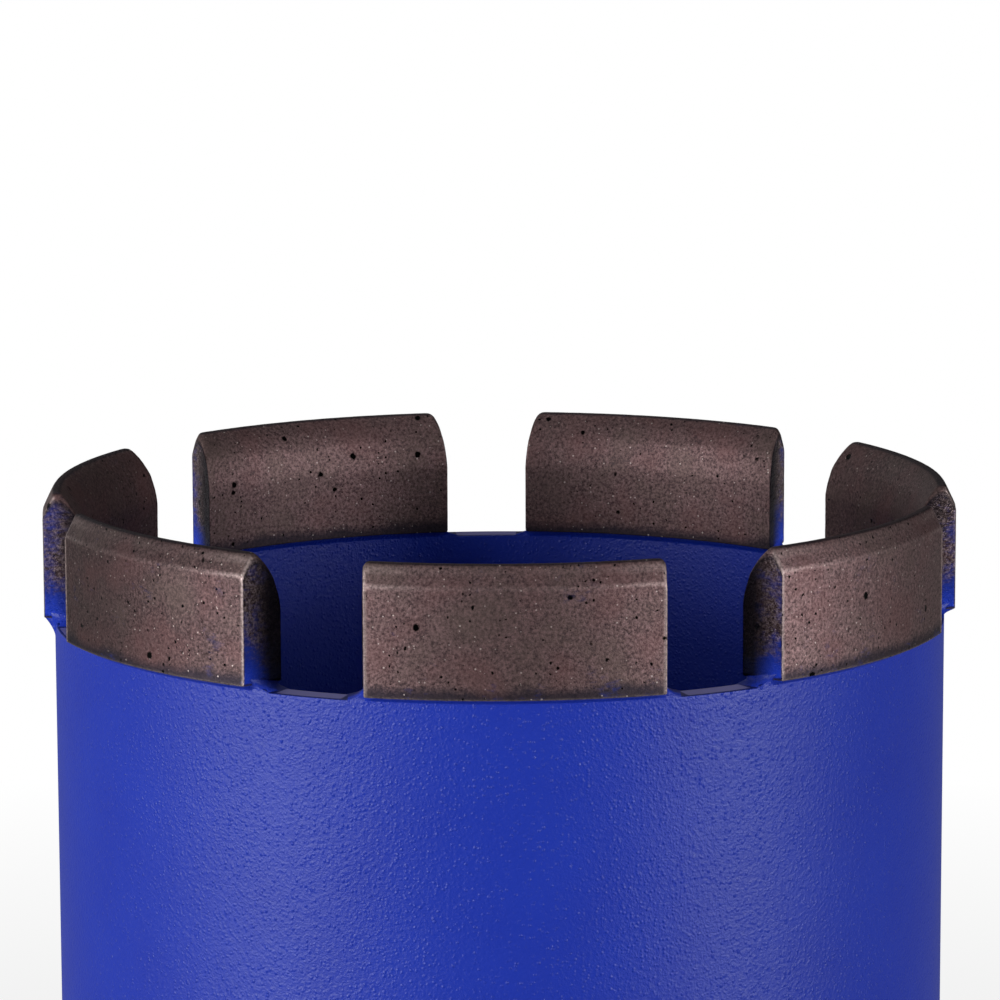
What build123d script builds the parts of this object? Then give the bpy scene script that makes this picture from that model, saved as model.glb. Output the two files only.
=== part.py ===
"""Short wet diamond core bit: a thin steel barrel with roof-topped diamond segments brazed to its rim.

Frame: origin at the centre of the hub's spindle face, +Z along the axis towards the segments.
Millimetres. Segment 1 is centred on -Y and the numbers run anticlockwise seen from above.
"""
from build123d import *
import os
from math import asin, degrees, sqrt

# ---- cutting end -------------------------------------------------------------------------
BIT_DIAMETER = 82.0          # over the segments: the hole that the bit drills
SEGMENT_COUNT = 7
FIRST_SEGMENT_ANGLE = -90.0  # about +Z, from +X
SEGMENT_LENGTH = 25.5        # between the parallel end faces
SEGMENT_THICKNESS = 3.8      # radially
SEGMENT_HEIGHT = 11.4        # foot to ridge
RIDGE_WIDTH = 0.9            # flat land along the top of the roof
OUTER_BEVEL_WIDTH = 0.95     # radial width of the straight bevel outside the ridge
OUTER_BEVEL_HEIGHT = 1.95
INNER_BEVEL_HEIGHT = 2.8     # the bevel inside the ridge, in two slopes
INNER_BEVEL_BREAK = 0.28     # how far the break between its slopes stands proud of a single slope
RIDGE_CORNER_RADIUS = 0.5    # at both ends of the ridge
CORE_CLEARANCE = 0.6         # how far the segments stand inside the barrel's bore

# ---- barrel ------------------------------------------------------------------------------
BARREL_WALL = 2.2
DRILLING_DEPTH = 150.0       # end plate's inner face to the ridge
RIM_EDGE_BREAK = 0.2         # chamfer along the edges of the rim and of its reliefs
RELIEF_DEPTH = 0.25          # ground dips in the rim, one between each pair of segments
RELIEF_END_GAP = 1.3         # from the end of a segment to the relief beside it

# ---- brazed joints -----------------------------------------------------------------------
BRAZE_GAP = 0.15             # seam between segment foot and rim
BRAZE_FILLET_RADIUS = 0.9    # concave, at both ends of a segment

# ---- end plate ---------------------------------------------------------------------------
PLATE_FLANGE = 5.0           # the part under the barrel, flush with it
PLATE_SPIGOT = 3.0           # the part that centres the barrel
SPIGOT_CHAMFER = 0.6
SPIGOT_CLEARANCE = 0.05      # radial, barrel bore to spigot
PLATE_LOWER_CHAMFER = 1.5
WELD_GROOVE = 1.2            # 45 degree preparation on the barrel and the flange
WELD_CROWN = 0.35            # bead height over the barrel's surface
WELD_CROWN_WIDTH = 1.0       # flat top of the bead

# ---- hub ---------------------------------------------------------------------------------
HUB_ACROSS_FLATS = 41.0
HUB_HEX_HEIGHT = 22.0
HUB_COLLAR_HEIGHT = 8.0      # round part between the hexagon and the end plate
HUB_COLLAR_DIAMETER = 40.0
HUB_SPIGOT_DIAMETER = 37.0   # passes through the end plate
HUB_SPIGOT_CLEARANCE = 0.05  # radial
HEX_CORNER_CHAMFER = 1.4     # height of the 30 degree turned chamfer on the corners
HUB_WELD_LEG = 3.0
THREAD_MAJOR_DIAMETER = 31.75    # 1 1/4 inch, 7 threads to the inch; the bore is at the thread's roots
THREAD_CLEARANCE = 0.05          # radial, spindle's crests to the bore
THREAD_MOUTH_CHAMFER = 1.2
THREAD_TOP_CHAMFER = 0.8

# ---- worked out from the sizes above -----------------------------------------------------
segment_outer_r = BIT_DIAMETER / 2
segment_inner_r = segment_outer_r - SEGMENT_THICKNESS
bore_r = segment_inner_r + CORE_CLEARANCE
barrel_r = bore_r + BARREL_WALL
ridge_outer_r = segment_outer_r - OUTER_BEVEL_WIDTH
ridge_inner_r = ridge_outer_r - RIDGE_WIDTH

hub_top_z = HUB_HEX_HEIGHT + HUB_COLLAR_HEIGHT       # the end plate's lower face
barrel_foot_z = hub_top_z + PLATE_FLANGE
plate_inner_z = barrel_foot_z + PLATE_SPIGOT
ridge_z = plate_inner_z + DRILLING_DEPTH
segment_foot_z = ridge_z - SEGMENT_HEIGHT
rim_z = segment_foot_z - BRAZE_GAP

pitch_angle = 360 / SEGMENT_COUNT
segment_angles = [FIRST_SEGMENT_ANGLE + i * pitch_angle for i in range(SEGMENT_COUNT)]
relief_angles = [angle + pitch_angle / 2 for angle in segment_angles]
reach = 2 * (BIT_DIAMETER + ridge_z)     # past the part in every direction, for cutting shapes


def turned_arc(profile, sweep):
    """A profile drawn on XZ (X is the radius) turned about Z through a sweep centred on +X."""
    return Rot(0, 0, -sweep / 2) * revolve(profile, Axis.Z, sweep)


def segment():
    """One segment on +X: parallel end faces, curved faces and a roof whose ridge is nearer the outside."""
    outer_eave_z = ridge_z - OUTER_BEVEL_HEIGHT
    inner_eave = Vector(segment_inner_r, 0, ridge_z - INNER_BEVEL_HEIGHT)
    ridge_inner = Vector(ridge_inner_r, 0, ridge_z)
    run = ridge_inner - inner_eave
    outward = Vector(-run.Z, 0, run.X).normalized()
    slope_break = (inner_eave + ridge_inner) / 2 + outward * INNER_BEVEL_BREAK
    profile = Polyline(
        ridge_inner,
        (ridge_outer_r, 0, ridge_z),
        (segment_outer_r, 0, outer_eave_z),
        (segment_outer_r, 0, segment_foot_z),
        (segment_inner_r, 0, segment_foot_z),
        inner_eave,
        slope_break,
        close=True,
    )
    body = turned_arc(make_face(profile), 180) & Box(reach, SEGMENT_LENGTH, reach)
    ridge_ends = body.edges().filter_by(Plane.XY).filter_by(GeomType.LINE).group_by(Axis.Z)[-1]
    return fillet(ridge_ends, RIDGE_CORNER_RADIUS)


def braze():
    """The silver solder under one segment, with a concave fillet at each end. Lies within the wall."""
    half = SEGMENT_LENGTH / 2
    toe = half + BRAZE_FILLET_RADIUS
    top_z = rim_z + BRAZE_FILLET_RADIUS
    right = CenterArc((toe, top_z), BRAZE_FILLET_RADIUS, 180, 90)
    left = CenterArc((-toe, top_z), BRAZE_FILLET_RADIUS, 270, 90)
    foot = Polyline((half, top_z), (half, segment_foot_z), (-half, segment_foot_z), (-half, top_z))
    outline = Line((-toe, rim_z), (toe, rim_z)) + right + foot + left
    strip = extrude(Plane.YZ * make_face(outline), reach, dir=(1, 0, 0))
    rim = Cylinder(barrel_r - RIM_EDGE_BREAK, reach) - Cylinder(bore_r + RIM_EDGE_BREAK, reach)
    return strip & rim


def barrel():
    """The tube: weld preparation at the foot, and a shallow ground relief in the rim between segments."""
    profile = Polyline(
        (bore_r, 0, barrel_foot_z),
        (bore_r, 0, rim_z - RIM_EDGE_BREAK),
        (bore_r + RIM_EDGE_BREAK, 0, rim_z),
        (barrel_r - RIM_EDGE_BREAK, 0, rim_z),
        (barrel_r, 0, rim_z - RIM_EDGE_BREAK),
        (barrel_r, 0, barrel_foot_z + WELD_GROOVE),
        (barrel_r - WELD_GROOVE, 0, barrel_foot_z),
        close=True,
    )
    tube = revolve(make_face(profile), Axis.Z)
    # The relief's floor has the same edge breaks as the rim, so its cutter is wider below the floor.
    floor_z = rim_z - RELIEF_DEPTH
    cutter_profile = Polyline(
        (bore_r, 0, floor_z - RIM_EDGE_BREAK),
        (bore_r + RIM_EDGE_BREAK, 0, floor_z),
        (barrel_r - RIM_EDGE_BREAK, 0, floor_z),
        (barrel_r, 0, floor_z - RIM_EDGE_BREAK),
        (barrel_r, 0, rim_z),
        (bore_r, 0, rim_z),
        close=True,
    )
    kept_angle = 2 * degrees(asin((SEGMENT_LENGTH / 2 + RELIEF_END_GAP) / barrel_r))
    cutter = turned_arc(make_face(cutter_profile), pitch_angle - kept_angle)
    return tube - [Rot(0, 0, angle) * cutter for angle in relief_angles]


def end_plate():
    """Disc that closes the barrel: a flange flush with it, a spigot inside it and a hole for the hub."""
    hole_r = HUB_SPIGOT_DIAMETER / 2 + HUB_SPIGOT_CLEARANCE
    spigot_r = bore_r - SPIGOT_CLEARANCE
    profile = Polyline(
        (hole_r, 0, hub_top_z),
        (barrel_r - PLATE_LOWER_CHAMFER, 0, hub_top_z),
        (barrel_r, 0, hub_top_z + PLATE_LOWER_CHAMFER),
        (barrel_r, 0, barrel_foot_z - WELD_GROOVE),
        (barrel_r - WELD_GROOVE, 0, barrel_foot_z),
        (spigot_r, 0, barrel_foot_z),
        (spigot_r, 0, plate_inner_z - SPIGOT_CHAMFER),
        (spigot_r - SPIGOT_CHAMFER, 0, plate_inner_z),
        (hole_r, 0, plate_inner_z),
        close=True,
    )
    return revolve(make_face(profile), Axis.Z)


def barrel_weld():
    """Bead that fills the groove between the barrel's foot and the flange, with a low crown."""
    profile = Polyline(
        (barrel_r - WELD_GROOVE, 0, barrel_foot_z),
        (barrel_r, 0, barrel_foot_z - WELD_GROOVE),
        (barrel_r + WELD_CROWN, 0, barrel_foot_z - WELD_CROWN_WIDTH / 2),
        (barrel_r + WELD_CROWN, 0, barrel_foot_z + WELD_CROWN_WIDTH / 2),
        (barrel_r, 0, barrel_foot_z + WELD_GROOVE),
        close=True,
    )
    return revolve(make_face(profile), Axis.Z)


def hub():
    """Turned hexagon hub, bored for the spindle's thread, with a spigot through the end plate."""
    spigot_r = HUB_SPIGOT_DIAMETER / 2
    thread_r = THREAD_MAJOR_DIAMETER / 2 + THREAD_CLEARANCE
    corner_r = HUB_ACROSS_FLATS / sqrt(3)
    hexagon = extrude(RegularPolygon(HUB_ACROSS_FLATS / 2, 6, major_radius=False), HUB_HEX_HEIGHT)
    # A 30 degree chamfer turned on both ends of the hexagon takes off only its corners.
    chamfer_run = HEX_CORNER_CHAMFER * sqrt(3)
    turned = Polyline(
        (0, 0, 0),
        (corner_r - chamfer_run, 0, 0),
        (corner_r, 0, HEX_CORNER_CHAMFER),
        (corner_r, 0, HUB_HEX_HEIGHT - HEX_CORNER_CHAMFER),
        (corner_r - chamfer_run, 0, HUB_HEX_HEIGHT),
        (0, 0, HUB_HEX_HEIGHT),
        close=True,
    )
    body = hexagon & revolve(make_face(turned), Axis.Z)
    collar = Pos(0, 0, HUB_HEX_HEIGHT) * Cylinder(
        HUB_COLLAR_DIAMETER / 2, HUB_COLLAR_HEIGHT, align=(Align.CENTER, Align.CENTER, Align.MIN)
    )
    spigot_height = PLATE_FLANGE + PLATE_SPIGOT
    spigot = Pos(0, 0, hub_top_z) * Cylinder(
        spigot_r, spigot_height, align=(Align.CENTER, Align.CENTER, Align.MIN)
    )
    bore = Polyline(
        (0, 0, 0),
        (thread_r + THREAD_MOUTH_CHAMFER, 0, 0),
        (thread_r, 0, THREAD_MOUTH_CHAMFER),
        (thread_r, 0, plate_inner_z - THREAD_TOP_CHAMFER),
        (thread_r + THREAD_TOP_CHAMFER, 0, plate_inner_z),
        (0, 0, plate_inner_z),
        close=True,
    )
    return body + collar + spigot - revolve(make_face(bore), Axis.Z)


def hub_weld():
    """Mitre fillet weld between the hub's collar and the end plate's lower face."""
    collar_r = HUB_COLLAR_DIAMETER / 2
    profile = Polyline(
        (collar_r, 0, hub_top_z),
        (collar_r, 0, hub_top_z - HUB_WELD_LEG),
        (collar_r + HUB_WELD_LEG, 0, hub_top_z),
        close=True,
    )
    return revolve(make_face(profile), Axis.Z)


def main():
    os.makedirs("parts", exist_ok=True)
    pieces = {
        "barrel": barrel(),
        "end_plate": end_plate(),
        "barrel_weld": barrel_weld(),
        "hub": hub(),
        "hub_weld": hub_weld(),
    }
    one_segment = segment()
    one_braze = braze()
    for number, angle in enumerate(segment_angles, start=1):
        pieces[f"segment_{number}"] = Rot(0, 0, angle) * one_segment
        pieces[f"braze_{number}"] = Rot(0, 0, angle) * one_braze
    for name, shape in pieces.items():
        export_step(shape, f"parts/{name}.step")


main()
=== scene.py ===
# %% [markdown]
# # A short diamond core bit
# The bit is a thin steel tube with seven sintered segments brazed to its rim, closed at the foot by a plate
# and a threaded hub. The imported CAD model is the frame: it gives every piece its place, in metres, with the
# spindle face at zero and the segments upwards. This lesson puts the finish on it, piece by piece: first
# small helpers, then the finishes, then the pieces whose surface is too fine for the CAD model, and last the
# studio.
# %% Load the frame
import math
import bpy
import numpy as np
from mathutils import Matrix, Vector


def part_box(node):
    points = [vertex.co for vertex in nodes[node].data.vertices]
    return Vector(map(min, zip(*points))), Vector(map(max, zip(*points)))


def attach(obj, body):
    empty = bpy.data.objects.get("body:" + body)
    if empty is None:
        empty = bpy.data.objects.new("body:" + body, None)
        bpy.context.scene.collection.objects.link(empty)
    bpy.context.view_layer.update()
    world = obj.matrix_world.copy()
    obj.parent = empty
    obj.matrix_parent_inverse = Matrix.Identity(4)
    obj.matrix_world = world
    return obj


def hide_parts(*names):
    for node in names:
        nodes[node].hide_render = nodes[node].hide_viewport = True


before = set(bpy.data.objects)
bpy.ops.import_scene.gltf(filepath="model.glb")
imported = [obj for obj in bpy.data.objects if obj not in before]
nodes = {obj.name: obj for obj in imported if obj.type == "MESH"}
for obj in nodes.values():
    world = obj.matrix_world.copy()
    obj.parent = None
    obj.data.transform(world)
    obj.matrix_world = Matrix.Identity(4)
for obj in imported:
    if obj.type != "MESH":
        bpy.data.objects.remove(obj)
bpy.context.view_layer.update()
MM = 0.001

# %% [markdown]
# ## Sizes
# The heights come from the frame's own boxes, so they follow the CAD model. The radii and the segment's
# length and height are the CAD model's named sizes, repeated here in millimetres. Only the dips in the rim
# are slightly deeper than in the CAD model, because the coat stands round them.
# %% Sizes in millimetres
SEGMENTS = 7
PITCH = 2 * math.pi / SEGMENTS
SEGMENT_LENGTH, SEGMENT_HEIGHT = 25.5, 11.4
SEGMENT_OUTER_R, SEGMENT_INNER_R = 41.0, 37.2
BARREL_R, BORE_R = 40.0, 37.8
RELIEF_DEPTH, BARE_HALF_LENGTH = 0.28, 3.0
foot_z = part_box("segment_1")[0][2] / MM
rim_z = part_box("barrel")[1][2] / MM
barrel_foot_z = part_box("barrel")[0][2] / MM
plate_foot_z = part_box("end_plate")[0][2] / MM


def segment_turn(number):
    """A segment's angle about the axis, from +X. The first stands at the front."""
    return -math.pi / 2 + (number - 1) * PITCH


print("segment foot", round(foot_z, 3), "rim", round(rim_z, 3), "tube's foot", round(barrel_foot_z, 3))

# %% [markdown]
# ## Helpers
# A colour is written as its sRGB hex value and turned to linear once. One function adds a shader or geometry
# node with its settings and links, and one turns arrays of points and faces into a mesh object.
# %% Colour, node and mesh helpers
def linear(hex_colour):
    """A hex sRGB colour as the linear RGBA that shaders use."""
    parts = [int(hex_colour[i:i + 2], 16) / 255 for i in (1, 3, 5)]
    return tuple(c / 12.92 if c <= 0.04045 else ((c + 0.055) / 1.055) ** 2.4 for c in parts) + (1.0,)


def add(tree, kind, inputs=None, **settings):
    """Adds a node. Each input is a value, or an output socket to link from."""
    node = tree.nodes.new(kind)
    for name, value in settings.items():
        setattr(node, name, value)
    for key, value in (inputs or {}).items():
        if isinstance(value, bpy.types.NodeSocket):
            tree.links.new(value, node.inputs[key])
        else:
            node.inputs[key].default_value = value
    return node


def material(name):
    """A new material with an empty tree, its output node and object coordinates."""
    new = bpy.data.materials.new(name)
    new.use_nodes = True
    new.node_tree.nodes.clear()
    tree = new.node_tree
    output = add(tree, "ShaderNodeOutputMaterial")
    place = add(tree, "ShaderNodeTexCoord").outputs["Object"]
    return new, tree, output, place


def mesh_object(name, points_mm, faces, smooth=True):
    """A mesh object at the origin, from points in millimetres."""
    mesh = bpy.data.meshes.new(name)
    mesh.from_pydata((np.asarray(points_mm) * MM).tolist(), [], [list(map(int, f)) for f in faces])
    mesh.validate()
    if smooth:
        mesh.shade_smooth()
    new = bpy.data.objects.new(name, mesh)
    bpy.context.scene.collection.objects.link(new)
    return new


def per_mm(size_mm):
    """The scale of a texture whose features are this many millimetres apart."""
    return 1.0 / (size_mm * MM)


print("helpers ready; one millimetre grain is scale", per_mm(1.0))

# %% [markdown]
# ## Blue powder coat
# The tube is steel with an ultramarine polyester powder coat, cured in an oven. The powder melts into a satin
# film with a fine orange peel, which breaks the studio's soft highlights into small flecks. An image could
# carry the peel, but a bump worked out from object coordinates has no seams and keeps its real size on every
# piece. It has three layers: small domes under half a millimetre apart, where grains of powder stood, a noise
# of the same size, and a slow swell.
# %% Powder coat material
COAT_BLUE, COAT_BLUE_DEEP = "#142F9D", "#112791"
CLOUD_MM, SWELL_MM, PEEL_MM = 9.0, 1.9, 0.38
SWELL_DEPTH_MM, PEEL_DEPTH_MM = 0.04, 0.065
COAT = {"Roughness": 0.4, "IOR": 1.5, "Specular IOR Level": 0.3}


def coat_bump(tree, place):
    """The normal of the orange peel: domes and fine noise over a slow swell."""
    swell = add(tree, "ShaderNodeTexNoise", {"Vector": place, "Scale": per_mm(SWELL_MM), "Detail": 1.0})
    wide = add(tree, "ShaderNodeBump", {
        "Height": swell.outputs[0], "Strength": 0.3, "Distance": SWELL_DEPTH_MM * MM,
    })
    fine = add(tree, "ShaderNodeTexNoise", {
        "Vector": place, "Scale": per_mm(PEEL_MM), "Detail": 3.0, "Roughness": 0.7,
    })
    cells = add(tree, "ShaderNodeTexVoronoi", {"Vector": place, "Scale": per_mm(PEEL_MM)})
    pick = add(tree, "ShaderNodeSeparateColor", {0: cells.outputs["Color"]})
    dome = add(tree, "ShaderNodeMapRange", {
        "Value": cells.outputs["Distance"], "From Max": 0.5, "To Min": 1.0, "To Max": 0.0,
    }, interpolation_type="SMOOTHSTEP")
    fleck = add(tree, "ShaderNodeMath", {0: dome.outputs[0], 1: pick.outputs[0]}, operation="MULTIPLY")
    peel = add(tree, "ShaderNodeMath", {
        0: fine.outputs[0], 1: 1.3, 2: fleck.outputs[0],
    }, operation="MULTIPLY_ADD")
    return add(tree, "ShaderNodeBump", {
        "Height": peel.outputs[0], "Strength": 1.0, "Distance": PEEL_DEPTH_MM * MM, "Normal": wide.outputs[0],
    }).outputs[0]


def coat_colour(tree, place):
    """Blue that varies a little from spot to spot, as the pigment settles."""
    cloud = add(tree, "ShaderNodeTexNoise", {"Vector": place, "Scale": per_mm(CLOUD_MM), "Detail": 3.0})
    return add(tree, "ShaderNodeMix", {
        0: cloud.outputs[0], 6: linear(COAT_BLUE), 7: linear(COAT_BLUE_DEEP),
    }, data_type="RGBA").outputs[2]


powder_coat, tree, output, place = material("satin_powder_coat")
coat = add(tree, "ShaderNodeBsdfPrincipled", COAT | {
    "Base Color": coat_colour(tree, place), "Normal": coat_bump(tree, place),
})
tree.links.new(coat.outputs[0], output.inputs[0])
print("material:", powder_coat.name)

# %% [markdown]
# ## Coated rim with bare steel
# Between the segments the rim is ground through the coat, so the same film ends there at bare, dull steel. A
# strip of steel could be laid over the tube, but it would leave a step, so the tube's own points carry an
# attribute: 1 on the ground steel, 0.4 along the film's edge, where its blue is painted darker as painted
# shade, and at most 0.1 where it is whole. Noise makes the edge ragged.
# %% Rim material
BARE_STEEL, EDGE_SHADE_BLUE = "#8380BE", "#0B1350"
EDGE_SHADE_SHARE, WHOLE = 0.4, 0.1
GRIND_MM, GRIND_DEPTH_MM = 0.25, 0.02
coated_rim, tree, output, place = material("powder_coat_with_ground_rim")
bare_or_edge_shade = add(tree, "ShaderNodeAttribute", attribute_name="bare_or_edge_shade").outputs["Fac"]
# Painted shade: the coat's blue is darkened along the film's edge beside the ground strip.
painted_edge_shade = add(tree, "ShaderNodeMapRange", {"Value": bare_or_edge_shade, "From Min": WHOLE, "From Max": 0.35, "To Max": 0.85})
coat = add(tree, "ShaderNodeBsdfPrincipled", COAT | {
    "Base Color": add(tree, "ShaderNodeMix", {
        0: painted_edge_shade.outputs[0], 6: coat_colour(tree, place), 7: linear(EDGE_SHADE_BLUE),
    }, data_type="RGBA").outputs[2],
    "Normal": coat_bump(tree, place),
})
grind = add(tree, "ShaderNodeTexNoise", {
    "Vector": place, "Scale": per_mm(GRIND_MM), "Detail": 3.0,
}).outputs[0]
scuffed = add(tree, "ShaderNodeBump", {"Height": grind, "Strength": 0.5, "Distance": GRIND_DEPTH_MM * MM})
steel = add(tree, "ShaderNodeBsdfPrincipled", {
    "Base Color": linear(BARE_STEEL), "Metallic": 0.35, "Roughness": 0.5, "Normal": scuffed.outputs[0],
})
ragged = add(tree, "ShaderNodeMath", {0: grind, 1: 0.3, 2: bare_or_edge_shade}, operation="MULTIPLY_ADD")
worn_through = add(tree, "ShaderNodeMapRange", {
    "Value": ragged.outputs[0], "From Min": 0.72, "From Max": 0.84,
})
film = add(tree, "ShaderNodeMixShader", {0: worn_through.outputs[0], 1: coat.outputs[0], 2: steel.outputs[0]})
tree.links.new(film.outputs[0], output.inputs[0])
print("material:", coated_rim.name)

# %% [markdown]
# ## Sintered bronze
# A segment is bronze and cobalt powder mixed with diamond grit, pressed in a die and sintered. The eye sees a
# dull brown metal with a fine grain, small glints, pores where powder was missing, painted black as the shade
# in them, a painted highlight along the outer face's edges, a painted dark line along the ridge, and a darker
# layer at the foot that holds no diamond. The ends carry painted shade towards the bore. The coat was sprayed
# with the segments masked by hand, so blue overspray lies on their ends.
#
# Each of these is one layer: a share, which says where it lies, and its colour. The cells below work the
# layers out one by one, and the last cell lays them over the grain in that order, which is easier to follow
# and to change than one long chain. Three attributes steer them. The first, end, is 1 on an end face. The
# second is 1 along the outer face's two sides, and less along its foot, eave and ridge; it places the painted
# edge highlight. The third, tone, is each segment's own brightness. The height is read from the object's own
# Z.
# %% Sintered bronze: grain and tone
BRONZE_LIGHT, BRONZE_DARK = "#7B6464", "#352A2C"
GRAIN_MM = 0.26
sintered, tree, output, place = material("sintered_bronze_with_diamond")
height = add(tree, "ShaderNodeMath", {
    0: add(tree, "ShaderNodeSeparateXYZ", {0: place}).outputs[2], 1: foot_z * MM,
}, operation="SUBTRACT").outputs[0]
grain = add(tree, "ShaderNodeTexNoise", {
    "Vector": place, "Scale": per_mm(GRAIN_MM), "Detail": 5.0, "Roughness": 0.75,
}).outputs[0]
contrast = add(tree, "ShaderNodeMapRange", {"Value": grain, "From Min": 0.36, "From Max": 0.64}).outputs[0]
colour = add(tree, "ShaderNodeMix", {
    0: contrast, 6: linear(BRONZE_DARK), 7: linear(BRONZE_LIGHT),
}, data_type="RGBA").outputs[2]
colour = add(tree, "ShaderNodeVectorMath", {
    0: colour, "Scale": add(tree, "ShaderNodeAttribute", attribute_name="tone").outputs["Fac"],
}, operation="SCALE").outputs[0]
layers = []
print("sintered bronze: grain", GRAIN_MM, "mm")

# %% Sintered bronze: blotches, foot layer and painted dark ridge line
BRONZE_WARM, BRONZE_OLIVE, FOOT_LAYER, PAINTED_DARK = "#684A4A", "#5A4E4A", "#2A2730", "#1B1922"
BLOTCH_MM, BLOTCH_WAVE_MM, GRAIN_WAVE_MM = 5.0, 1.6, 0.6
FOOT_CLOSED_MM, FOOT_ENDS_MM = 0.5, 1.35
blotch = add(tree, "ShaderNodeTexNoise", {
    "Vector": place, "Scale": per_mm(BLOTCH_MM), "Detail": 4.0,
}).outputs[0]
for least, most, tint in ((0.5, 0.7, BRONZE_WARM), (0.5, 0.3, BRONZE_OLIVE)):
    there = add(tree, "ShaderNodeMapRange", {
        "Value": blotch, "From Min": least, "From Max": most, "To Max": 0.45,
    })
    layers.append((there.outputs[0], linear(tint)))
wavy = add(tree, "ShaderNodeMath", {0: blotch, 1: BLOTCH_WAVE_MM * MM, 2: height}, operation="MULTIPLY_ADD")
wavy = add(tree, "ShaderNodeMath", {
    0: grain, 1: GRAIN_WAVE_MM * MM, 2: wavy.outputs[0],
}, operation="MULTIPLY_ADD")
mean_wave = (BLOTCH_WAVE_MM + GRAIN_WAVE_MM) / 2
foot = add(tree, "ShaderNodeMapRange", {
    "Value": wavy.outputs[0], "From Min": (mean_wave + FOOT_ENDS_MM) * MM,
    "From Max": (mean_wave + FOOT_CLOSED_MM) * MM, "To Max": 0.85,
})
# A dark line along the top of the ridge is a painted dark reflection.
painted_dark_ridge_line = add(tree, "ShaderNodeMapRange", {
    "Value": height, "From Min": (SEGMENT_HEIGHT - 0.22) * MM, "From Max": (SEGMENT_HEIGHT - 0.1) * MM,
    "To Max": 0.75,
})
layers += [(foot.outputs[0], linear(FOOT_LAYER)), (painted_dark_ridge_line.outputs[0], linear(PAINTED_DARK))]
print("sintered bronze: layers so far", len(layers))

# %% Sintered bronze: painted edge highlights, glints and pores
# A cell's random colour picks which cells hold a glint or a pore, and how big it is. Each kind of pore has
# the size of its cells in millimetres, the share of cells without one, and the largest pore as a share of
# its cell. A pore is painted black, as the shade inside it.
EDGE_HIGHLIGHT, GLINT, PORE_SHADE = "#B09F9C", "#BDB1AC", "#040404"
GLINT_MM, PORE_WOBBLE_MM, PORE_WOBBLE_DEPTH_MM = 0.42, 0.35, 0.3
PORES = ((0.6, 0.5, 0.25), (1.6, 0.6, 0.24))
# A painted highlight is laid along the outer face's edges, broken up by the grain.
edge_highlight = add(tree, "ShaderNodeAttribute", attribute_name="edge_highlight").outputs["Fac"]
grain_breakup = add(tree, "ShaderNodeMapRange", {"Value": contrast, "To Min": 0.3, "To Max": 1.0})
painted_edge_highlight = add(tree, "ShaderNodeMath", {0: edge_highlight, 1: grain_breakup.outputs[0]}, operation="MULTIPLY")
glint_cells = add(tree, "ShaderNodeTexVoronoi", {"Vector": place, "Scale": per_mm(GLINT_MM)})
glint_pick = add(tree, "ShaderNodeSeparateColor", {0: glint_cells.outputs["Color"]})
glint_size = add(tree, "ShaderNodeMapRange", {
    "Value": glint_pick.outputs[0], "From Min": 0.6, "From Max": 1.0, "To Max": 0.2,
})
glint = add(tree, "ShaderNodeMath", {
    0: glint_cells.outputs["Distance"], 1: glint_size.outputs[0],
}, operation="LESS_THAN")
glint = add(tree, "ShaderNodeMath", {0: glint.outputs[0], 1: 0.6}, operation="MULTIPLY")
wobble = add(tree, "ShaderNodeTexNoise", {"Vector": place, "Scale": per_mm(PORE_WOBBLE_MM), "Detail": 3.0})
pore_place = add(tree, "ShaderNodeVectorMath", {
    0: wobble.outputs["Color"], 1: (PORE_WOBBLE_DEPTH_MM * MM,) * 3, 2: place,
}, operation="MULTIPLY_ADD").outputs[0]
pore_holes = []
for cell_mm, empty, largest in PORES:
    cells = add(tree, "ShaderNodeTexVoronoi", {"Vector": pore_place, "Scale": per_mm(cell_mm)})
    pick = add(tree, "ShaderNodeSeparateColor", {0: cells.outputs["Color"]})
    size = add(tree, "ShaderNodeMapRange", {
        "Value": pick.outputs[0], "From Min": empty, "From Max": 1.0, "To Max": largest,
    })
    inside = add(tree, "ShaderNodeMath", {
        0: size.outputs[0], 1: cells.outputs["Distance"],
    }, operation="SUBTRACT")
    hole = add(tree, "ShaderNodeMapRange", {"Value": inside.outputs[0], "From Min": 0.0, "From Max": 0.05})
    pore_holes.append(hole.outputs[0])
pore = add(tree, "ShaderNodeMath", dict(enumerate(pore_holes)), operation="MAXIMUM").outputs[0]
layers += [
    (painted_edge_highlight.outputs[0], linear(EDGE_HIGHLIGHT)), (glint.outputs[0], linear(GLINT)), (pore, linear(PORE_SHADE)),
]
print("sintered bronze: layers so far", len(layers))

# %% Sintered bronze: painted shade and bright specks on the ends
# Towards the bore an end is painted dark, as painted shade. Towards the outside it carries bright specks, a
# painted highlight where the light reaches. A painted shade line runs where the end turns into the other
# faces.
END_GLINT = "#BBA7AA"
end_face = add(tree, "ShaderNodeAttribute", attribute_name="end").outputs["Fac"]
flat_place = add(tree, "ShaderNodeVectorMath", {0: place, 1: (1.0, 1.0, 0.0)}, operation="MULTIPLY")
from_axis = add(tree, "ShaderNodeVectorMath", {0: flat_place.outputs[0]}, operation="LENGTH")
from_bore = add(tree, "ShaderNodeMath", {
    0: from_axis.outputs["Value"], 1: SEGMENT_INNER_R * MM,
}, operation="SUBTRACT").outputs[0]
# Painted shade: the end face is darkened towards the bore.
painted_shade_to_bore = add(tree, "ShaderNodeMapRange", {
    "Value": from_bore, "From Min": 1.0 * MM, "From Max": 2.9 * MM, "To Min": 0.92, "To Max": 0.12,
})
painted_shade_to_bore = add(tree, "ShaderNodeMath", {0: end_face, 1: painted_shade_to_bore.outputs[0]}, operation="MULTIPLY")
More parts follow.
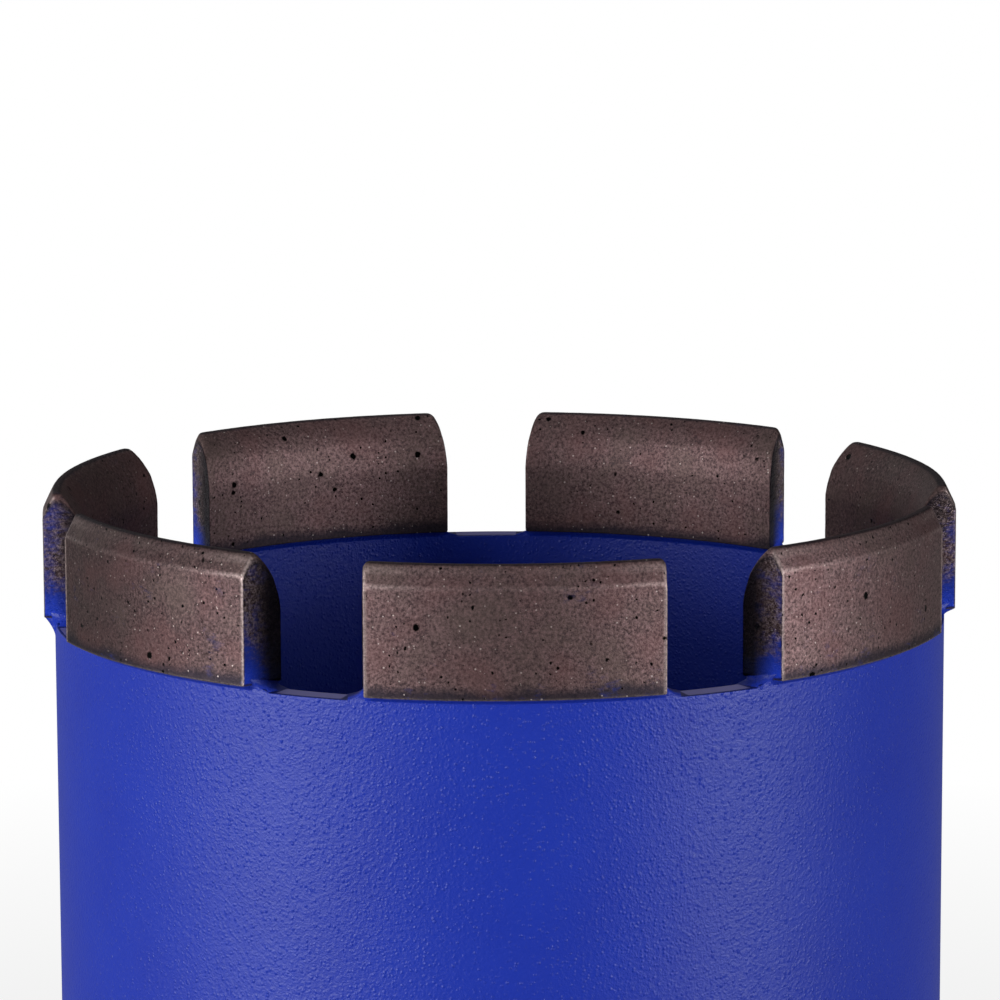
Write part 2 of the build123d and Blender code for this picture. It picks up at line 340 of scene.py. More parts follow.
# Painted shade: a dark line where the end turns into the other faces.
off_end = add(tree, "ShaderNodeMath", {0: 1.0, 1: end_face}, operation="SUBTRACT")
painted_corner_shade = add(tree, "ShaderNodeMath", {0: end_face, 1: off_end.outputs[0]}, operation="MULTIPLY")
painted_corner_shade = add(tree, "ShaderNodeMath", {0: painted_corner_shade.outputs[0], 1: 3.0}, operation="MULTIPLY")
# Painted highlight: bright specks on the end, strongest towards the outside where the light reaches.
shine = add(tree, "ShaderNodeMapRange", {"Value": grain, "From Min": 0.46, "From Max": 0.7, "To Max": 0.85})
shine = add(tree, "ShaderNodeMath", {0: shine.outputs[0], 1: end_face}, operation="MULTIPLY")
lit_outer_side = add(tree, "ShaderNodeMapRange", {
    "Value": from_bore, "From Min": 1.3 * MM, "From Max": 3.1 * MM, "To Min": 0.06, "To Max": 1.0,
})
shine = add(tree, "ShaderNodeMath", {0: shine.outputs[0], 1: lit_outer_side.outputs[0]}, operation="MULTIPLY")
layers += [
    (painted_shade_to_bore.outputs[0], linear(PAINTED_DARK)), (painted_corner_shade.outputs[0], linear(PAINTED_DARK)),
    (shine.outputs[0], linear(END_GLINT)),
]
print("sintered bronze: layers so far", len(layers))

# %% Sintered bronze: overspray
# On an end the blue film is a mist, drawn out sideways along the creases. It is closed near the foot, broken
# into specks higher up, and sparser towards the bore, since the gun stood outside the bit. Its blue is
# painted brighter near the foot, as painted light, and darker towards the bore, as painted shade. The
# other faces only caught faint smudges.
MIST_MM, DRIFT_MM, CREASE_STRETCH = 0.5, 2.6, (0.65, 0.65, 1.5)
creased = add(tree, "ShaderNodeVectorMath", {0: place, 1: CREASE_STRETCH}, operation="MULTIPLY")
mist = add(tree, "ShaderNodeTexNoise", {
    "Vector": creased.outputs[0], "Scale": per_mm(MIST_MM), "Detail": 4.0, "Roughness": 0.7,
}).outputs[0]
drift = add(tree, "ShaderNodeTexNoise", {
    "Vector": place, "Scale": per_mm(DRIFT_MM), "Detail": 2.0,
}).outputs[0]
clouds = add(tree, "ShaderNodeMath", {0: mist, 1: drift}, operation="ADD").outputs[0]
low_down = add(tree, "ShaderNodeMapRange", {
    "Value": height, "From Min": 1.0 * MM, "From Max": 4.5 * MM, "To Min": 0.3, "To Max": -0.04,
})
outwards = add(tree, "ShaderNodeMapRange", {
    "Value": from_bore, "From Min": 0.6 * MM, "From Max": 3.6 * MM, "To Min": -0.12, "To Max": 0.05,
})
cover = add(tree, "ShaderNodeMath", {0: clouds, 1: 0.55, 2: low_down.outputs[0]}, operation="MULTIPLY_ADD")
cover = add(tree, "ShaderNodeMath", {0: cover.outputs[0], 1: outwards.outputs[0]}, operation="ADD")
on_end = add(tree, "ShaderNodeMapRange", {"Value": cover.outputs[0], "From Min": 0.48, "From Max": 0.74})
on_end = add(tree, "ShaderNodeMath", {0: on_end.outputs[0], 1: end_face}, operation="MULTIPLY")
near_foot = add(tree, "ShaderNodeMapRange", {
    "Value": height, "From Min": 0.2 * MM, "From Max": 1.6 * MM, "To Min": 0.1, "To Max": 0.0,
})
smudge = add(tree, "ShaderNodeMath", {0: clouds, 1: near_foot.outputs[0]}, operation="ADD")
smudge = add(tree, "ShaderNodeMapRange", {
    "Value": smudge.outputs[0], "From Min": 1.2, "From Max": 1.45, "To Max": 0.7,
})
spray = add(tree, "ShaderNodeMath", {
    0: on_end.outputs[0], 1: smudge.outputs[0],
}, operation="MAXIMUM").outputs[0]
# The film's blue is painted darker towards the bore and brighter near the foot: painted shade and painted
# light.
film_shade_to_bore = add(tree, "ShaderNodeMapRange", {
    "Value": from_bore, "From Min": 1.0 * MM, "From Max": 3.0 * MM, "To Min": 0.05, "To Max": 0.8,
})
film_lit_near_foot = add(tree, "ShaderNodeMapRange", {
    "Value": height, "From Min": 0.5 * MM, "From Max": 2.6 * MM, "To Min": 2.0, "To Max": 1.0,
})
faint = add(tree, "ShaderNodeMapRange", {"Value": end_face, "To Min": 0.22, "To Max": 1.0})
film_light_and_shade = add(tree, "ShaderNodeMath", {0: film_shade_to_bore.outputs[0], 1: film_lit_near_foot.outputs[0]}, operation="MULTIPLY")
film_light_and_shade = add(tree, "ShaderNodeMath", {0: film_light_and_shade.outputs[0], 1: faint.outputs[0]}, operation="MULTIPLY")
lit_and_shaded_film_blue = add(tree, "ShaderNodeVectorMath", {
    0: linear(COAT_BLUE)[:3], "Scale": film_light_and_shade.outputs[0],
}, operation="SCALE")
layers.append((spray, lit_and_shaded_film_blue.outputs[0]))
print("sintered bronze: layers", len(layers))

# %% Sintered bronze: lay the layers and add the relief
RELIEF_MM = 0.05
for share, paint in layers:
    colour = add(tree, "ShaderNodeMix", {0: share, 6: colour, 7: paint}, data_type="RGBA").outputs[2]
metal = add(tree, "ShaderNodeMath", {0: 1.0, 1: spray}, operation="SUBTRACT")
rough = add(tree, "ShaderNodeMapRange", {
    "Value": grain, "From Min": 0.3, "From Max": 0.7, "To Min": 0.6, "To Max": 0.44,
})
rough = add(tree, "ShaderNodeMath", {0: end_face, 1: -0.14, 2: rough.outputs[0]}, operation="MULTIPLY_ADD")
relief = add(tree, "ShaderNodeMath", {0: pore, 1: -2.5, 2: grain}, operation="MULTIPLY_ADD")
wrinkle = add(tree, "ShaderNodeMath", {0: mist, 1: end_face}, operation="MULTIPLY")
relief = add(tree, "ShaderNodeMath", {
    0: wrinkle.outputs[0], 1: 13.0, 2: relief.outputs[0],
}, operation="MULTIPLY_ADD")
pressed = add(tree, "ShaderNodeBump", {
    "Height": relief.outputs[0], "Strength": 0.9, "Distance": RELIEF_MM * MM,
})
bronze = add(tree, "ShaderNodeBsdfPrincipled", {
    "Base Color": colour, "Metallic": metal.outputs[0], "Roughness": rough.outputs[0],
    "Specular IOR Level": 0.25, "Normal": pressed.outputs[0],
})
tree.links.new(bronze.outputs[0], output.inputs[0])
print("material:", sintered.name)

# %% [markdown]
# ## Turned steel
# The hub is turned from bright bar. The tool leaves fine rings about the axis on round parts and faces. An
# anisotropic shader could hint at them, but a bump from noise along one line, read at radius plus height,
# draws each ring.
# %% Turned steel material
TURNED_STEEL, STEEL_STAIN = "#A7A5A3", "#8A8784"
TOOL_FEED_MM, RING_DEPTH_MM, STAIN_MM = 0.2, 0.02, 6.0
turned_steel, tree, output, place = material("turned_bright_steel")
axes = add(tree, "ShaderNodeSeparateXYZ", {0: place})
flat = add(tree, "ShaderNodeCombineXYZ", {"X": axes.outputs[0], "Y": axes.outputs[1]})
radius = add(tree, "ShaderNodeVectorMath", {0: flat.outputs[0]}, operation="LENGTH")
along = add(tree, "ShaderNodeMath", {0: radius.outputs[1], 1: axes.outputs[2]}, operation="ADD")
rings = add(tree, "ShaderNodeTexNoise", {
    "W": along.outputs[0], "Scale": per_mm(TOOL_FEED_MM), "Detail": 2.0,
}, noise_dimensions="1D")
stain = add(tree, "ShaderNodeTexNoise", {"Vector": place, "Scale": per_mm(STAIN_MM), "Detail": 4.0})
steel = add(tree, "ShaderNodeBsdfPrincipled", {
    "Base Color": add(tree, "ShaderNodeMix", {
        0: stain.outputs[0], 6: linear(TURNED_STEEL), 7: linear(STEEL_STAIN),
    }, data_type="RGBA").outputs[2],
    "Metallic": 1.0,
    "Roughness": add(tree, "ShaderNodeMapRange", {
        "Value": stain.outputs[0], "To Min": 0.28, "To Max": 0.42,
    }).outputs[0],
    "Normal": add(tree, "ShaderNodeBump", {
        "Height": rings.outputs[0], "Strength": 0.35, "Distance": RING_DEPTH_MM * MM,
    }).outputs[0],
})
tree.links.new(steel.outputs[0], output.inputs[0])
print("material:", turned_steel.name)

# %% [markdown]
# ## The segments
# Each segment is a pressed block with a roof. A box with bevelled edges could give that shape, but its large
# faces could not take the rough ends, so the shape is worked out on a three-way grid of stations: along its
# length, from the bore side to the outer side, and from foot to roof. Only the grid's skin is kept. Two
# rounds of averaging then soften every edge, as sintering and tumbling do, and a fine lip is left round the
# outer face, where the die's punch met its wall. The roof's bore side is rounder than in the CAD model, as
# tumbling leaves it.
# %% A segment's block in local places: length, radius, height
ROOF_R = [37.2, 37.32, 37.45, 37.8, 38.5, 39.05, 39.45, 40.0, 40.12, 41.0]
ROOF_Z = [6.4, 7.3, 7.8, 9.1, 10.4, 11.05, 11.4, 11.4, 11.28, 9.45]
STATION_STEP = 0.25
half = SEGMENT_LENGTH / 2
ends = np.array([0.0, 0.08, 0.16, 0.24, 0.34, 0.46, 0.6, 0.8])
length_stations = np.concatenate([
    -half + ends, np.arange(-half + 1.05, half - 1.0, STATION_STEP), half - ends[::-1],
])
radius_stations = np.concatenate([
    np.linspace(37.2, 37.8, 8)[:-1], np.linspace(37.8, 39.05, 7)[:-1], np.linspace(39.05, 40.0, 6)[:-1],
    np.linspace(40.0, 41.0, 8),
])
height_stations = np.concatenate([[0.0, 0.01, 0.02, 0.035], np.linspace(0.06, 1.0, 40)])


def skin_of_grid(counts):
    """The grid points on the skin of a block, and the quads that join them, all facing outwards."""
    index, points, quads = {}, [], []

    def number(cell):
        if cell not in index:
            index[cell] = len(points)
            points.append(cell)
        return index[cell]

    for axis in range(3):
        first, second = [a for a in range(3) if a != axis]
        for level in (0, counts[axis] - 1):
            for i in range(counts[first] - 1):
                for j in range(counts[second] - 1):
                    corners = []
                    for a, b in ((i, j), (i + 1, j), (i + 1, j + 1), (i, j + 1)):
                        cell = [0, 0, 0]
                        cell[axis], cell[first], cell[second] = level, a, b
                        corners.append(number(tuple(cell)))
                    outward = (level > 0) != (axis != 1)
                    quads.append(corners if outward else corners[::-1])
    return np.array(points), np.array(quads)


cells, quads = skin_of_grid((len(length_stations), len(radius_stations), len(height_stations)))
block_r = radius_stations[cells[:, 1]]
block_z = height_stations[cells[:, 2]] * np.interp(block_r, ROOF_R, ROOF_Z)
block = np.stack([length_stations[cells[:, 0]], block_r, block_z], axis=1)
print("segment block:", len(cells), "points,", len(quads), "quads")

# %% Round the ridge's ends and soften the edges
RIDGE_END_LENGTH, RIDGE_END_DROP = 0.75, 1.4
FOOT_END_LENGTH, FOOT_END_RISE = 0.3, 0.3
SOFTENING_ROUNDS = 2


def rounding(distance, length):
    """A quarter round's depth, as a share, at a distance from the end that it starts from."""
    return 1 - np.sqrt(1 - np.clip(1 - distance / length, 0, 1) ** 2)


from_end = half - np.abs(block[:, 0])
block[:, 2] -= RIDGE_END_DROP * rounding(from_end, RIDGE_END_LENGTH) * (block[:, 2] / SEGMENT_HEIGHT) ** 5
block[:, 2] += FOOT_END_RISE * rounding(from_end, FOOT_END_LENGTH) * (1 - block[:, 2] / SEGMENT_HEIGHT) ** 12
edges = np.concatenate([quads[:, [a, (a + 1) % 4]] for a in range(4)])
neighbours = np.zeros(len(cells))
np.add.at(neighbours, edges[:, 0], 1)
for _ in range(SOFTENING_ROUNDS):
    total = np.zeros_like(block)
    np.add.at(total, edges[:, 0], block[edges[:, 1]])
    block = 0.5 * block + 0.5 * total / neighbours[:, None]
print("softened block reaches", np.round(block.min(0), 3), np.round(block.max(0), 3))

# %% Leave the die's lip and mark the ends and edges
LIP_HEIGHT = 0.05


def hump(distance, middle, width):
    """A smooth hump of height 1 over a distance, with its middle and its half width."""
    return np.exp(-((distance - middle) / width) ** 2)


def carry(piece, name, values):
    """Stores one number for each point of a piece, for its material or a tree to read."""
    layer = piece.data.attributes.new(name, "FLOAT", "POINT")
    layer.data.foreach_set("value", np.asarray(values, dtype=np.float32))


from_end = half - np.abs(block[:, 0])
from_eave = np.abs(block[:, 2] - ROOF_Z[-1])
near_end = hump(from_end, 0, 3.5)
outer_side = np.clip((block[:, 1] - 39.9) / 0.2, 0, 1) * np.clip(from_end / 0.05, 0, 1)
lip = hump(from_end, 0.14, 0.1) - 0.8 * hump(from_end, 0.36, 0.1)
lip = np.maximum(lip, 0.35 * hump(from_eave, 0.1, 0.12))
block[:, 1] += outer_side * LIP_HEIGHT * (lip - 1)
end_mask = np.clip((0.11 - from_end) / 0.08, 0, 1)
# This mask places the painted highlight along the outer face's edges.
edge_highlight_mask = outer_side * np.maximum.reduce([
    hump(from_end, 0.2, 0.14), (0.1 + 0.4 * near_end) * hump(from_eave, 0, 0.16),
    (0.1 + 0.3 * near_end) * hump(block[:, 1], 40.3, 0.12), 0.6 * hump(block[:, 2], 0, 0.12),
])
places = np.stack([
    np.sqrt(block[:, 1] ** 2 - block[:, 0] ** 2), block[:, 0], block[:, 2] + foot_z,
], axis=1)
block_object = mesh_object("segment_block", places, quads)
carry(block_object, "end", end_mask)
carry(block_object, "edge_highlight", edge_highlight_mask)
print("block in its place reaches", np.round(places.min(0), 3), np.round(places.max(0), 3))

# %% [markdown]
# One Geometry Nodes tree finishes the block: noise pushes its skin inwards, a little on the pressed faces and
# more on the rough ends, and then the block is turned to its place on the rim. Seven blocks could be made by
# hand, but the tree only needs another seed to make a segment different, and another tone, which sets that
# segment's own brightness.
# %% The finishing tree
FACE_NOISE_MM, END_NOISE_MM, END_STRETCH = 0.9, 1.6, (0.7, 0.7, 1.7)


def new_tree(name, inputs, result):
    """A Geometry Nodes tree with named inputs and one geometry output, and its input node."""
    tree = bpy.data.node_groups.new(name, "GeometryNodeTree")
    for label, kind in inputs.items():
        tree.interface.new_socket(label, in_out="INPUT", socket_type="NodeSocket" + kind)
    tree.interface.new_socket(result, in_out="OUTPUT", socket_type="NodeSocketGeometry")
    return tree, add(tree, "NodeGroupInput")


def close_tree(tree, geometry, finish):
    """Ends a tree in a real mesh with its finish."""
    real = add(tree, "GeometryNodeRealizeInstances", {0: geometry})
    coloured = add(tree, "GeometryNodeSetMaterial", {0: real.outputs[0], "Material": finish})
    add(tree, "NodeGroupOutput", {0: coloured.outputs[0]})
    print("tree:", tree.name)


segment_tree, given = new_tree("sintered_segment", {
    "Block": "Geometry", "Turn": "Float", "Seed": "Float", "Face Roughness": "Float",
    "End Roughness": "Float", "Tone": "Float", "Finish": "Material",
}, "Segment")
position = add(segment_tree, "GeometryNodeInputPosition")
normal = add(segment_tree, "GeometryNodeInputNormal")
is_end = add(segment_tree, "GeometryNodeInputNamedAttribute", {"Name": "end"})
fine = add(segment_tree, "ShaderNodeTexNoise", {
    "Vector": position.outputs[0], "W": given.outputs["Seed"], "Scale": per_mm(FACE_NOISE_MM), "Detail": 3.0,
}, noise_dimensions="4D")
creases = add(segment_tree, "ShaderNodeVectorMath", {
    0: position.outputs[0], 1: END_STRETCH,
}, operation="MULTIPLY")
coarse = add(segment_tree, "ShaderNodeTexNoise", {
    "Vector": creases.outputs[0], "W": given.outputs["Seed"], "Scale": per_mm(END_NOISE_MM), "Detail": 4.0,
    "Roughness": 0.7,
}, noise_dimensions="4D")
face_push = add(segment_tree, "ShaderNodeMath", {
    0: fine.outputs[0], 1: given.outputs["Face Roughness"],
}, operation="MULTIPLY")
end_push = add(segment_tree, "ShaderNodeMath", {
    0: coarse.outputs[0], 1: given.outputs["End Roughness"],
}, operation="MULTIPLY")
push = add(segment_tree, "ShaderNodeMix", {
    0: is_end.outputs[0], 2: face_push.outputs[0], 3: end_push.outputs[0],
})
inwards = add(segment_tree, "ShaderNodeMath", {0: push.outputs[0], 1: -1.0}, operation="MULTIPLY")
offset = add(segment_tree, "ShaderNodeVectorMath", {
    0: normal.outputs[0], "Scale": inwards.outputs[0],
}, operation="SCALE")
moved = add(segment_tree, "GeometryNodeSetPosition", {0: given.outputs["Block"], "Offset": offset.outputs[0]})
angles = add(segment_tree, "ShaderNodeCombineXYZ", {"Z": given.outputs["Turn"]})
turned = add(segment_tree, "GeometryNodeTransform", {0: moved.outputs[0], "Rotation": angles.outputs[0]})
toned = add(segment_tree, "GeometryNodeStoreNamedAttribute", {
    0: turned.outputs[0], "Name": "tone", "Value": given.outputs["Tone"],
}, data_type="FLOAT", domain="POINT")
close_tree(segment_tree, toned.outputs[0], given.outputs["Finish"])


# %% Finish the seven segments
def grow(source, tree, values, name):
    """A plain mesh object from a source object with a Geometry Nodes tree and its named input values."""
    modifier = source.modifiers.new("grow", "NODES")
    modifier.node_group = tree
    for item in tree.interface.items_tree:
        if item.in_out == "INPUT" and item.name in values:
            modifier[item.identifier] = values[item.name]
    source.update_tag()
    graph = bpy.context.evaluated_depsgraph_get()
    mesh = bpy.data.meshes.new_from_object(source.evaluated_get(graph), depsgraph=graph)
    source.modifiers.remove(modifier)
    mesh.name = name
    new = bpy.data.objects.new(name, mesh)
    bpy.context.scene.collection.objects.link(new)
    return new


FACE_ROUGHNESS_MM, END_ROUGHNESS_MM, SEED_STEP = 0.03, 0.27, 3.1
TONES = {1: 0.99, 2: 1.18, 3: 0.74, 4: 1.02, 5: 1.06, 6: 0.9, 7: 0.67}
for number, tone in TONES.items():
    body = grow(block_object, segment_tree, {
        "Turn": segment_turn(number), "Seed": SEED_STEP * number, "Face Roughness": FACE_ROUGHNESS_MM * MM,
        "End Roughness": END_ROUGHNESS_MM * MM, "Tone": tone, "Finish": sintered,
    }, f"segment_{number}_body")
    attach(body, "root")
    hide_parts(f"segment_{number}")
bpy.data.objects.remove(block_object)
print("segments finished:", len(TONES))

# %% [markdown]
# ## The tube
# The tube is a turned ring whose rim is ground down a little over a quarter of a millimetre between the
# segments. Cutting the dips from a cylinder would leave long thin faces, so it is made as a grid: stations
# round the axis, and stations round the wall's section, which is rounded where the coat has flowed over the
# edges.
# %% Wall section and rim relief
RIM_EDGE_R, FOOT_CHAMFER = 0.2, 1.2
STATIONS_IN_PITCH = 68
BARE_END = BARE_HALF_LENGTH / BARREL_R
DIP_HALF_LENGTH, DIP_RUN_OUT, DIP_FADE = 4.6, 1.0, 0.6


def wall_section():
    """Radius, depth below the rim, and bareness or painted edge shade round the wall, from the foot outside
    to the foot inside.
    """
    depths = [0.45, 0.6, 0.8, 1.2, 2.0, 4.0, 8.0, 16.0, 30.0, 50.0, 75.0, 100.0, 125.0]
    quarter = [
        (RIM_EDGE_R * (1 - math.cos(step * math.pi / 12)), RIM_EDGE_R * (1 - math.sin(step * math.pi / 12)),
         EDGE_SHADE_SHARE * (step > 1))
        for step in range(7)
    ]
    foot_depth = rim_z - barrel_foot_z
    rows = [(BARREL_R, depth, 0.0) for depth in reversed(depths)]
    rows += [(BARREL_R - inset, depth, painted_edge_shade) for inset, depth, painted_edge_shade in quarter]
    rows += [(r, 0.0, 1.0) for r in np.linspace(BARREL_R - RIM_EDGE_R - 0.06, BORE_R + RIM_EDGE_R + 0.06, 9)]
    rows += [(BORE_R + inset, depth, painted_edge_shade) for inset, depth, painted_edge_shade in reversed(quarter)]
    rows += [(BORE_R, depth, 0.0) for depth in depths]
    rows += [(BORE_R, foot_depth, 0.0), (BARREL_R - FOOT_CHAMFER, foot_depth, 0.0)]
    rows += [(BARREL_R, foot_depth - FOOT_CHAMFER, 0.0)]
    return np.array(rows).T


in_pitch = np.sort(np.concatenate([
    np.arange(STATIONS_IN_PITCH) * PITCH / STATIONS_IN_PITCH,
    *(PITCH / 2 + side * (BARE_END + np.array([-0.0005, 0.0005, 0.006, 0.008])) for side in (-1, 1)),
]))
turns = np.concatenate([in_pitch + segment_turn(number) for number in range(1, SEGMENTS + 1)])
section_r, section_depth, section_bare_or_shade = wall_section()
from_middle = np.abs((turns + math.pi / 2) % PITCH - PITCH / 2) * BARREL_R
ground = np.clip((DIP_HALF_LENGTH - from_middle) / DIP_RUN_OUT, 0, 1)
ground = ground * ground * (3 - 2 * ground)
bare_ends = BARREL_R * (BARE_END + np.array([-0.0004, 0.0004, 0.007, 0.04]))
rim_bare_or_shade = np.interp(from_middle, bare_ends, [1, EDGE_SHADE_SHARE, EDGE_SHADE_SHARE, WHOLE])
print("wall section points:", len(section_r), "stations:", len(turns))

# %% Build the tube
def turned_points(angles, radii, heights):
    """A section turned about the axis, as one copy of it for each angle. A height may vary with the angle."""
    return np.stack([
        np.outer(np.cos(angles), radii), np.outer(np.sin(angles), radii),
        np.broadcast_to(heights, (len(angles), len(radii))),
    ], axis=2).reshape(-1, 3)


def swept_quads(sections, size, closed):
    """Quads between neighbouring sections that are closed loops of as many points as the size says."""
    return [
        (i * size + j, (i + 1) % sections * size + j, (i + 1) % sections * size + (j + 1) % size,
         i * size + (j + 1) % size)
        for i in range(sections if closed else sections - 1) for j in range(size)
    ]


dips = RELIEF_DEPTH * np.outer(ground, np.exp(-section_depth / DIP_FADE))
tube = mesh_object(
    "barrel_tube", turned_points(turns, section_r, rim_z - section_depth - dips),
    swept_quads(len(turns), len(section_r), closed=True),
)
carry(tube, "bare_or_edge_shade", np.minimum(section_bare_or_shade, rim_bare_or_shade[:, None]).ravel())
tube.data.materials.append(coated_rim)
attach(tube, "root")
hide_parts("barrel")
print("tube:", len(tube.data.vertices), "points")

# %% [markdown]
# ## Solder under the segments
# The solder runs out as a small ramp wherever a segment's foot stands over the wall, outside and inside, and
# as a hollow fillet up each end face. The coat has flowed over all of it. A bevel on the joined pieces could
# give an even fillet, but not one that changes along the seam. So one bead is a row of sections along the
# segment's length, which past the end face lean back and sink into the rim. Under the sixth segment more
# solder ran out than elsewhere, so its outer ramp is longer.
# %% Build the solder beads
FILLET_HEIGHT, INNER_FILLET_HEIGHT, BEAD_SPREAD = 0.9, 0.15, 1.5
OUTER_RAMP, LONG_OUTER_RAMP, INNER_RAMP = 0.1, 1.6, 0.25
BEHIND_FACE, IN_WALL, BELOW_RIM, SINKS = 0.12, 0.03, 0.3, 0.45
OUTER_RAMPS = {number: OUTER_RAMP for number in range(1, SEGMENTS + 1)} | {6: LONG_OUTER_RAMP}
overhang_out = SEGMENT_OUTER_R - BARREL_R - BEHIND_FACE
overhang_in = BORE_R - SEGMENT_INNER_R - BEHIND_FACE
half_bead = half - 0.25
past_end = BEAD_SPREAD * np.linspace(0, 1, 18) ** 1.3
reach_u = np.concatenate([
    -(half_bead + past_end[::-1]), np.linspace(-half_bead, half_bead, 30)[1:-1], half_bead + past_end,
])
steps = np.array([0, 0.05, 0.12, 0.22, 0.34, 0.48, 0.64, 0.8, 0.92, 1])


def bead_section(u, outer_ramp):
    """Radius and height round one section of the bead, from the outer toe over the top to the inner toe."""
    past = max(abs(u) - half_bead, 0.0) / BEAD_SPREAD
    left = (1 - past) ** 2.5
    lean = left * (1 - past) ** 5
    climb = (1 - past) ** 4.5 if past else 0.0
    sunk = foot_z - SINKS * past
    top_out, top_in = sunk + FILLET_HEIGHT * climb, sunk + INNER_FILLET_HEIGHT * climb
    outer_toe, inner_toe = rim_z - outer_ramp * left - BELOW_RIM, rim_z - INNER_RAMP * left - BELOW_RIM
    outer_r = BARREL_R - IN_WALL + overhang_out * lean * steps ** 2
    inner_r = BORE_R + IN_WALL - overhang_in * lean * steps ** 2
    outer_z = outer_toe + (top_out - outer_toe) * steps
    inner_z = inner_toe + (top_in - inner_toe) * steps
    return np.concatenate([outer_r, inner_r[::-1]]), np.concatenate([outer_z, inner_z[::-1]])


def bead_places(outer_ramp):
    """Every point of one bead, section after section."""
    rows = []
    for u in reach_u:
        radii, heights = bead_section(u, outer_ramp)
        rows.append(np.stack([np.sqrt(radii ** 2 - u ** 2), np.full(len(radii), u), heights], axis=1))
    return np.concatenate(rows)


section_size = 2 * len(steps)
bead_faces = swept_quads(len(reach_u), section_size, closed=False)
first_section = tuple(range(section_size))
last_section = tuple((len(reach_u) - 1) * section_size + j for j in range(section_size))
bead_faces += [first_section, last_section[::-1]]
for number, outer_ramp in OUTER_RAMPS.items():
    turn = segment_turn(number)
    spin = np.array([[math.cos(turn), -math.sin(turn), 0], [math.sin(turn), math.cos(turn), 0], [0, 0, 1]])
    bead = mesh_object(f"braze_{number}_bead", bead_places(outer_ramp) @ spin.T, bead_faces)
    bead.data.materials.append(powder_coat)
    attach(bead, "root")
    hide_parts(f"braze_{number}")
print("solder beads:", len(OUTER_RAMPS), "of", len(bead.data.vertices), "points")

# %% [markdown]
# ## Weld beads
# A weld shows the ripples that its pool left each time it froze. Each ripple is a crescent: its middle lags
# behind its ends. Crescents could be copied round the seam as pieces of their own, but a weld is one closed
# surface, so one tree draws them on a plain ring: the phase runs with the angle round the axis, and is held
# back by the distance from the bead's middle line.
# %% Weld ripple tree
UNSTEADY_MM = 4.0
ripple_tree, given = new_tree("weld_ripples", {
    "Ring": "Geometry", "Ripples": "Float", "Depth": "Float", "Middle Height": "Float", "Lag": "Float",
    "Finish": "Material",
}, "Bead")
position = add(ripple_tree, "GeometryNodeInputPosition")
axes = add(ripple_tree, "ShaderNodeSeparateXYZ", {0: position.outputs[0]})
angle = add(ripple_tree, "ShaderNodeMath", {0: axes.outputs[1], 1: axes.outputs[0]}, operation="ARCTAN2")
phase = add(ripple_tree, "ShaderNodeMath", {
    0: angle.outputs[0], 1: given.outputs["Ripples"],
}, operation="MULTIPLY")
off_middle = add(ripple_tree, "ShaderNodeMath", {
    0: axes.outputs[2], 1: given.outputs["Middle Height"],
}, operation="SUBTRACT")
off_middle = add(ripple_tree, "ShaderNodeMath", {0: off_middle.outputs[0], 1: 2.0}, operation="POWER")
phase = add(ripple_tree, "ShaderNodeMath", {
    0: off_middle.outputs[0], 1: given.outputs["Lag"], 2: phase.outputs[0],
}, operation="MULTIPLY_ADD")
wave = add(ripple_tree, "ShaderNodeMath", {0: phase.outputs[0]}, operation="SINE")
wave = add(ripple_tree, "ShaderNodeMapRange", {"Value": wave.outputs[0], "From Min": -1.0, "From Max": 1.0})
unsteady = add(ripple_tree, "ShaderNodeTexNoise", {
    "Vector": position.outputs[0], "Scale": per_mm(UNSTEADY_MM), "Detail": 1.0,
})
push = add(ripple_tree, "ShaderNodeMath", {0: wave.outputs[0], 1: unsteady.outputs[0]}, operation="ADD")
push = add(ripple_tree, "ShaderNodeMath", {
    0: push.outputs[0], 1: given.outputs["Depth"],
}, operation="MULTIPLY")
push = add(ripple_tree, "ShaderNodeMath", {0: push.outputs[0], 1: -1.0}, operation="MULTIPLY")
offset = add(ripple_tree, "ShaderNodeVectorMath", {
    0: add(ripple_tree, "GeometryNodeInputNormal").outputs[0], "Scale": push.outputs[0],
}, operation="SCALE")
rippled = add(ripple_tree, "GeometryNodeSetPosition", {0: given.outputs["Ring"], "Offset": offset.outputs[0]})
close_tree(ripple_tree, rippled.outputs[0], given.outputs["Finish"])

# %% Lay the two welds
COLLAR_R, HUB_WELD_LEG, HALF_WELD = 20.0, 3.0, 1.15
CROWN_RISE, FILLET_BULGE, CLEARANCE = 0.34, 0.044, 0.05
RIPPLE_DEPTH, RIPPLE_LAG, WELD_STATIONS = 0.09, 1.1e6, 1080
across = np.linspace(-1, 1, 13)
share_across = (across + 1) / 2
crown_r = np.concatenate([BARREL_R + CROWN_RISE * np.sqrt(1 - across ** 2), [BARREL_R - HALF_WELD]])
crown_z = np.concatenate([barrel_foot_z + HALF_WELD * across, [barrel_foot_z]])
bulge = FILLET_BULGE * np.sin(math.pi * share_across)
leg = HUB_WELD_LEG - CLEARANCE
fillet_r = np.concatenate([COLLAR_R + leg * share_across - bulge, [COLLAR_R]])
fillet_z = np.concatenate([plate_foot_z - leg * (1 - share_across) + bulge, [plate_foot_z - 0.01]])
weld_angles = np.arange(WELD_STATIONS) * 2 * math.pi / WELD_STATIONS
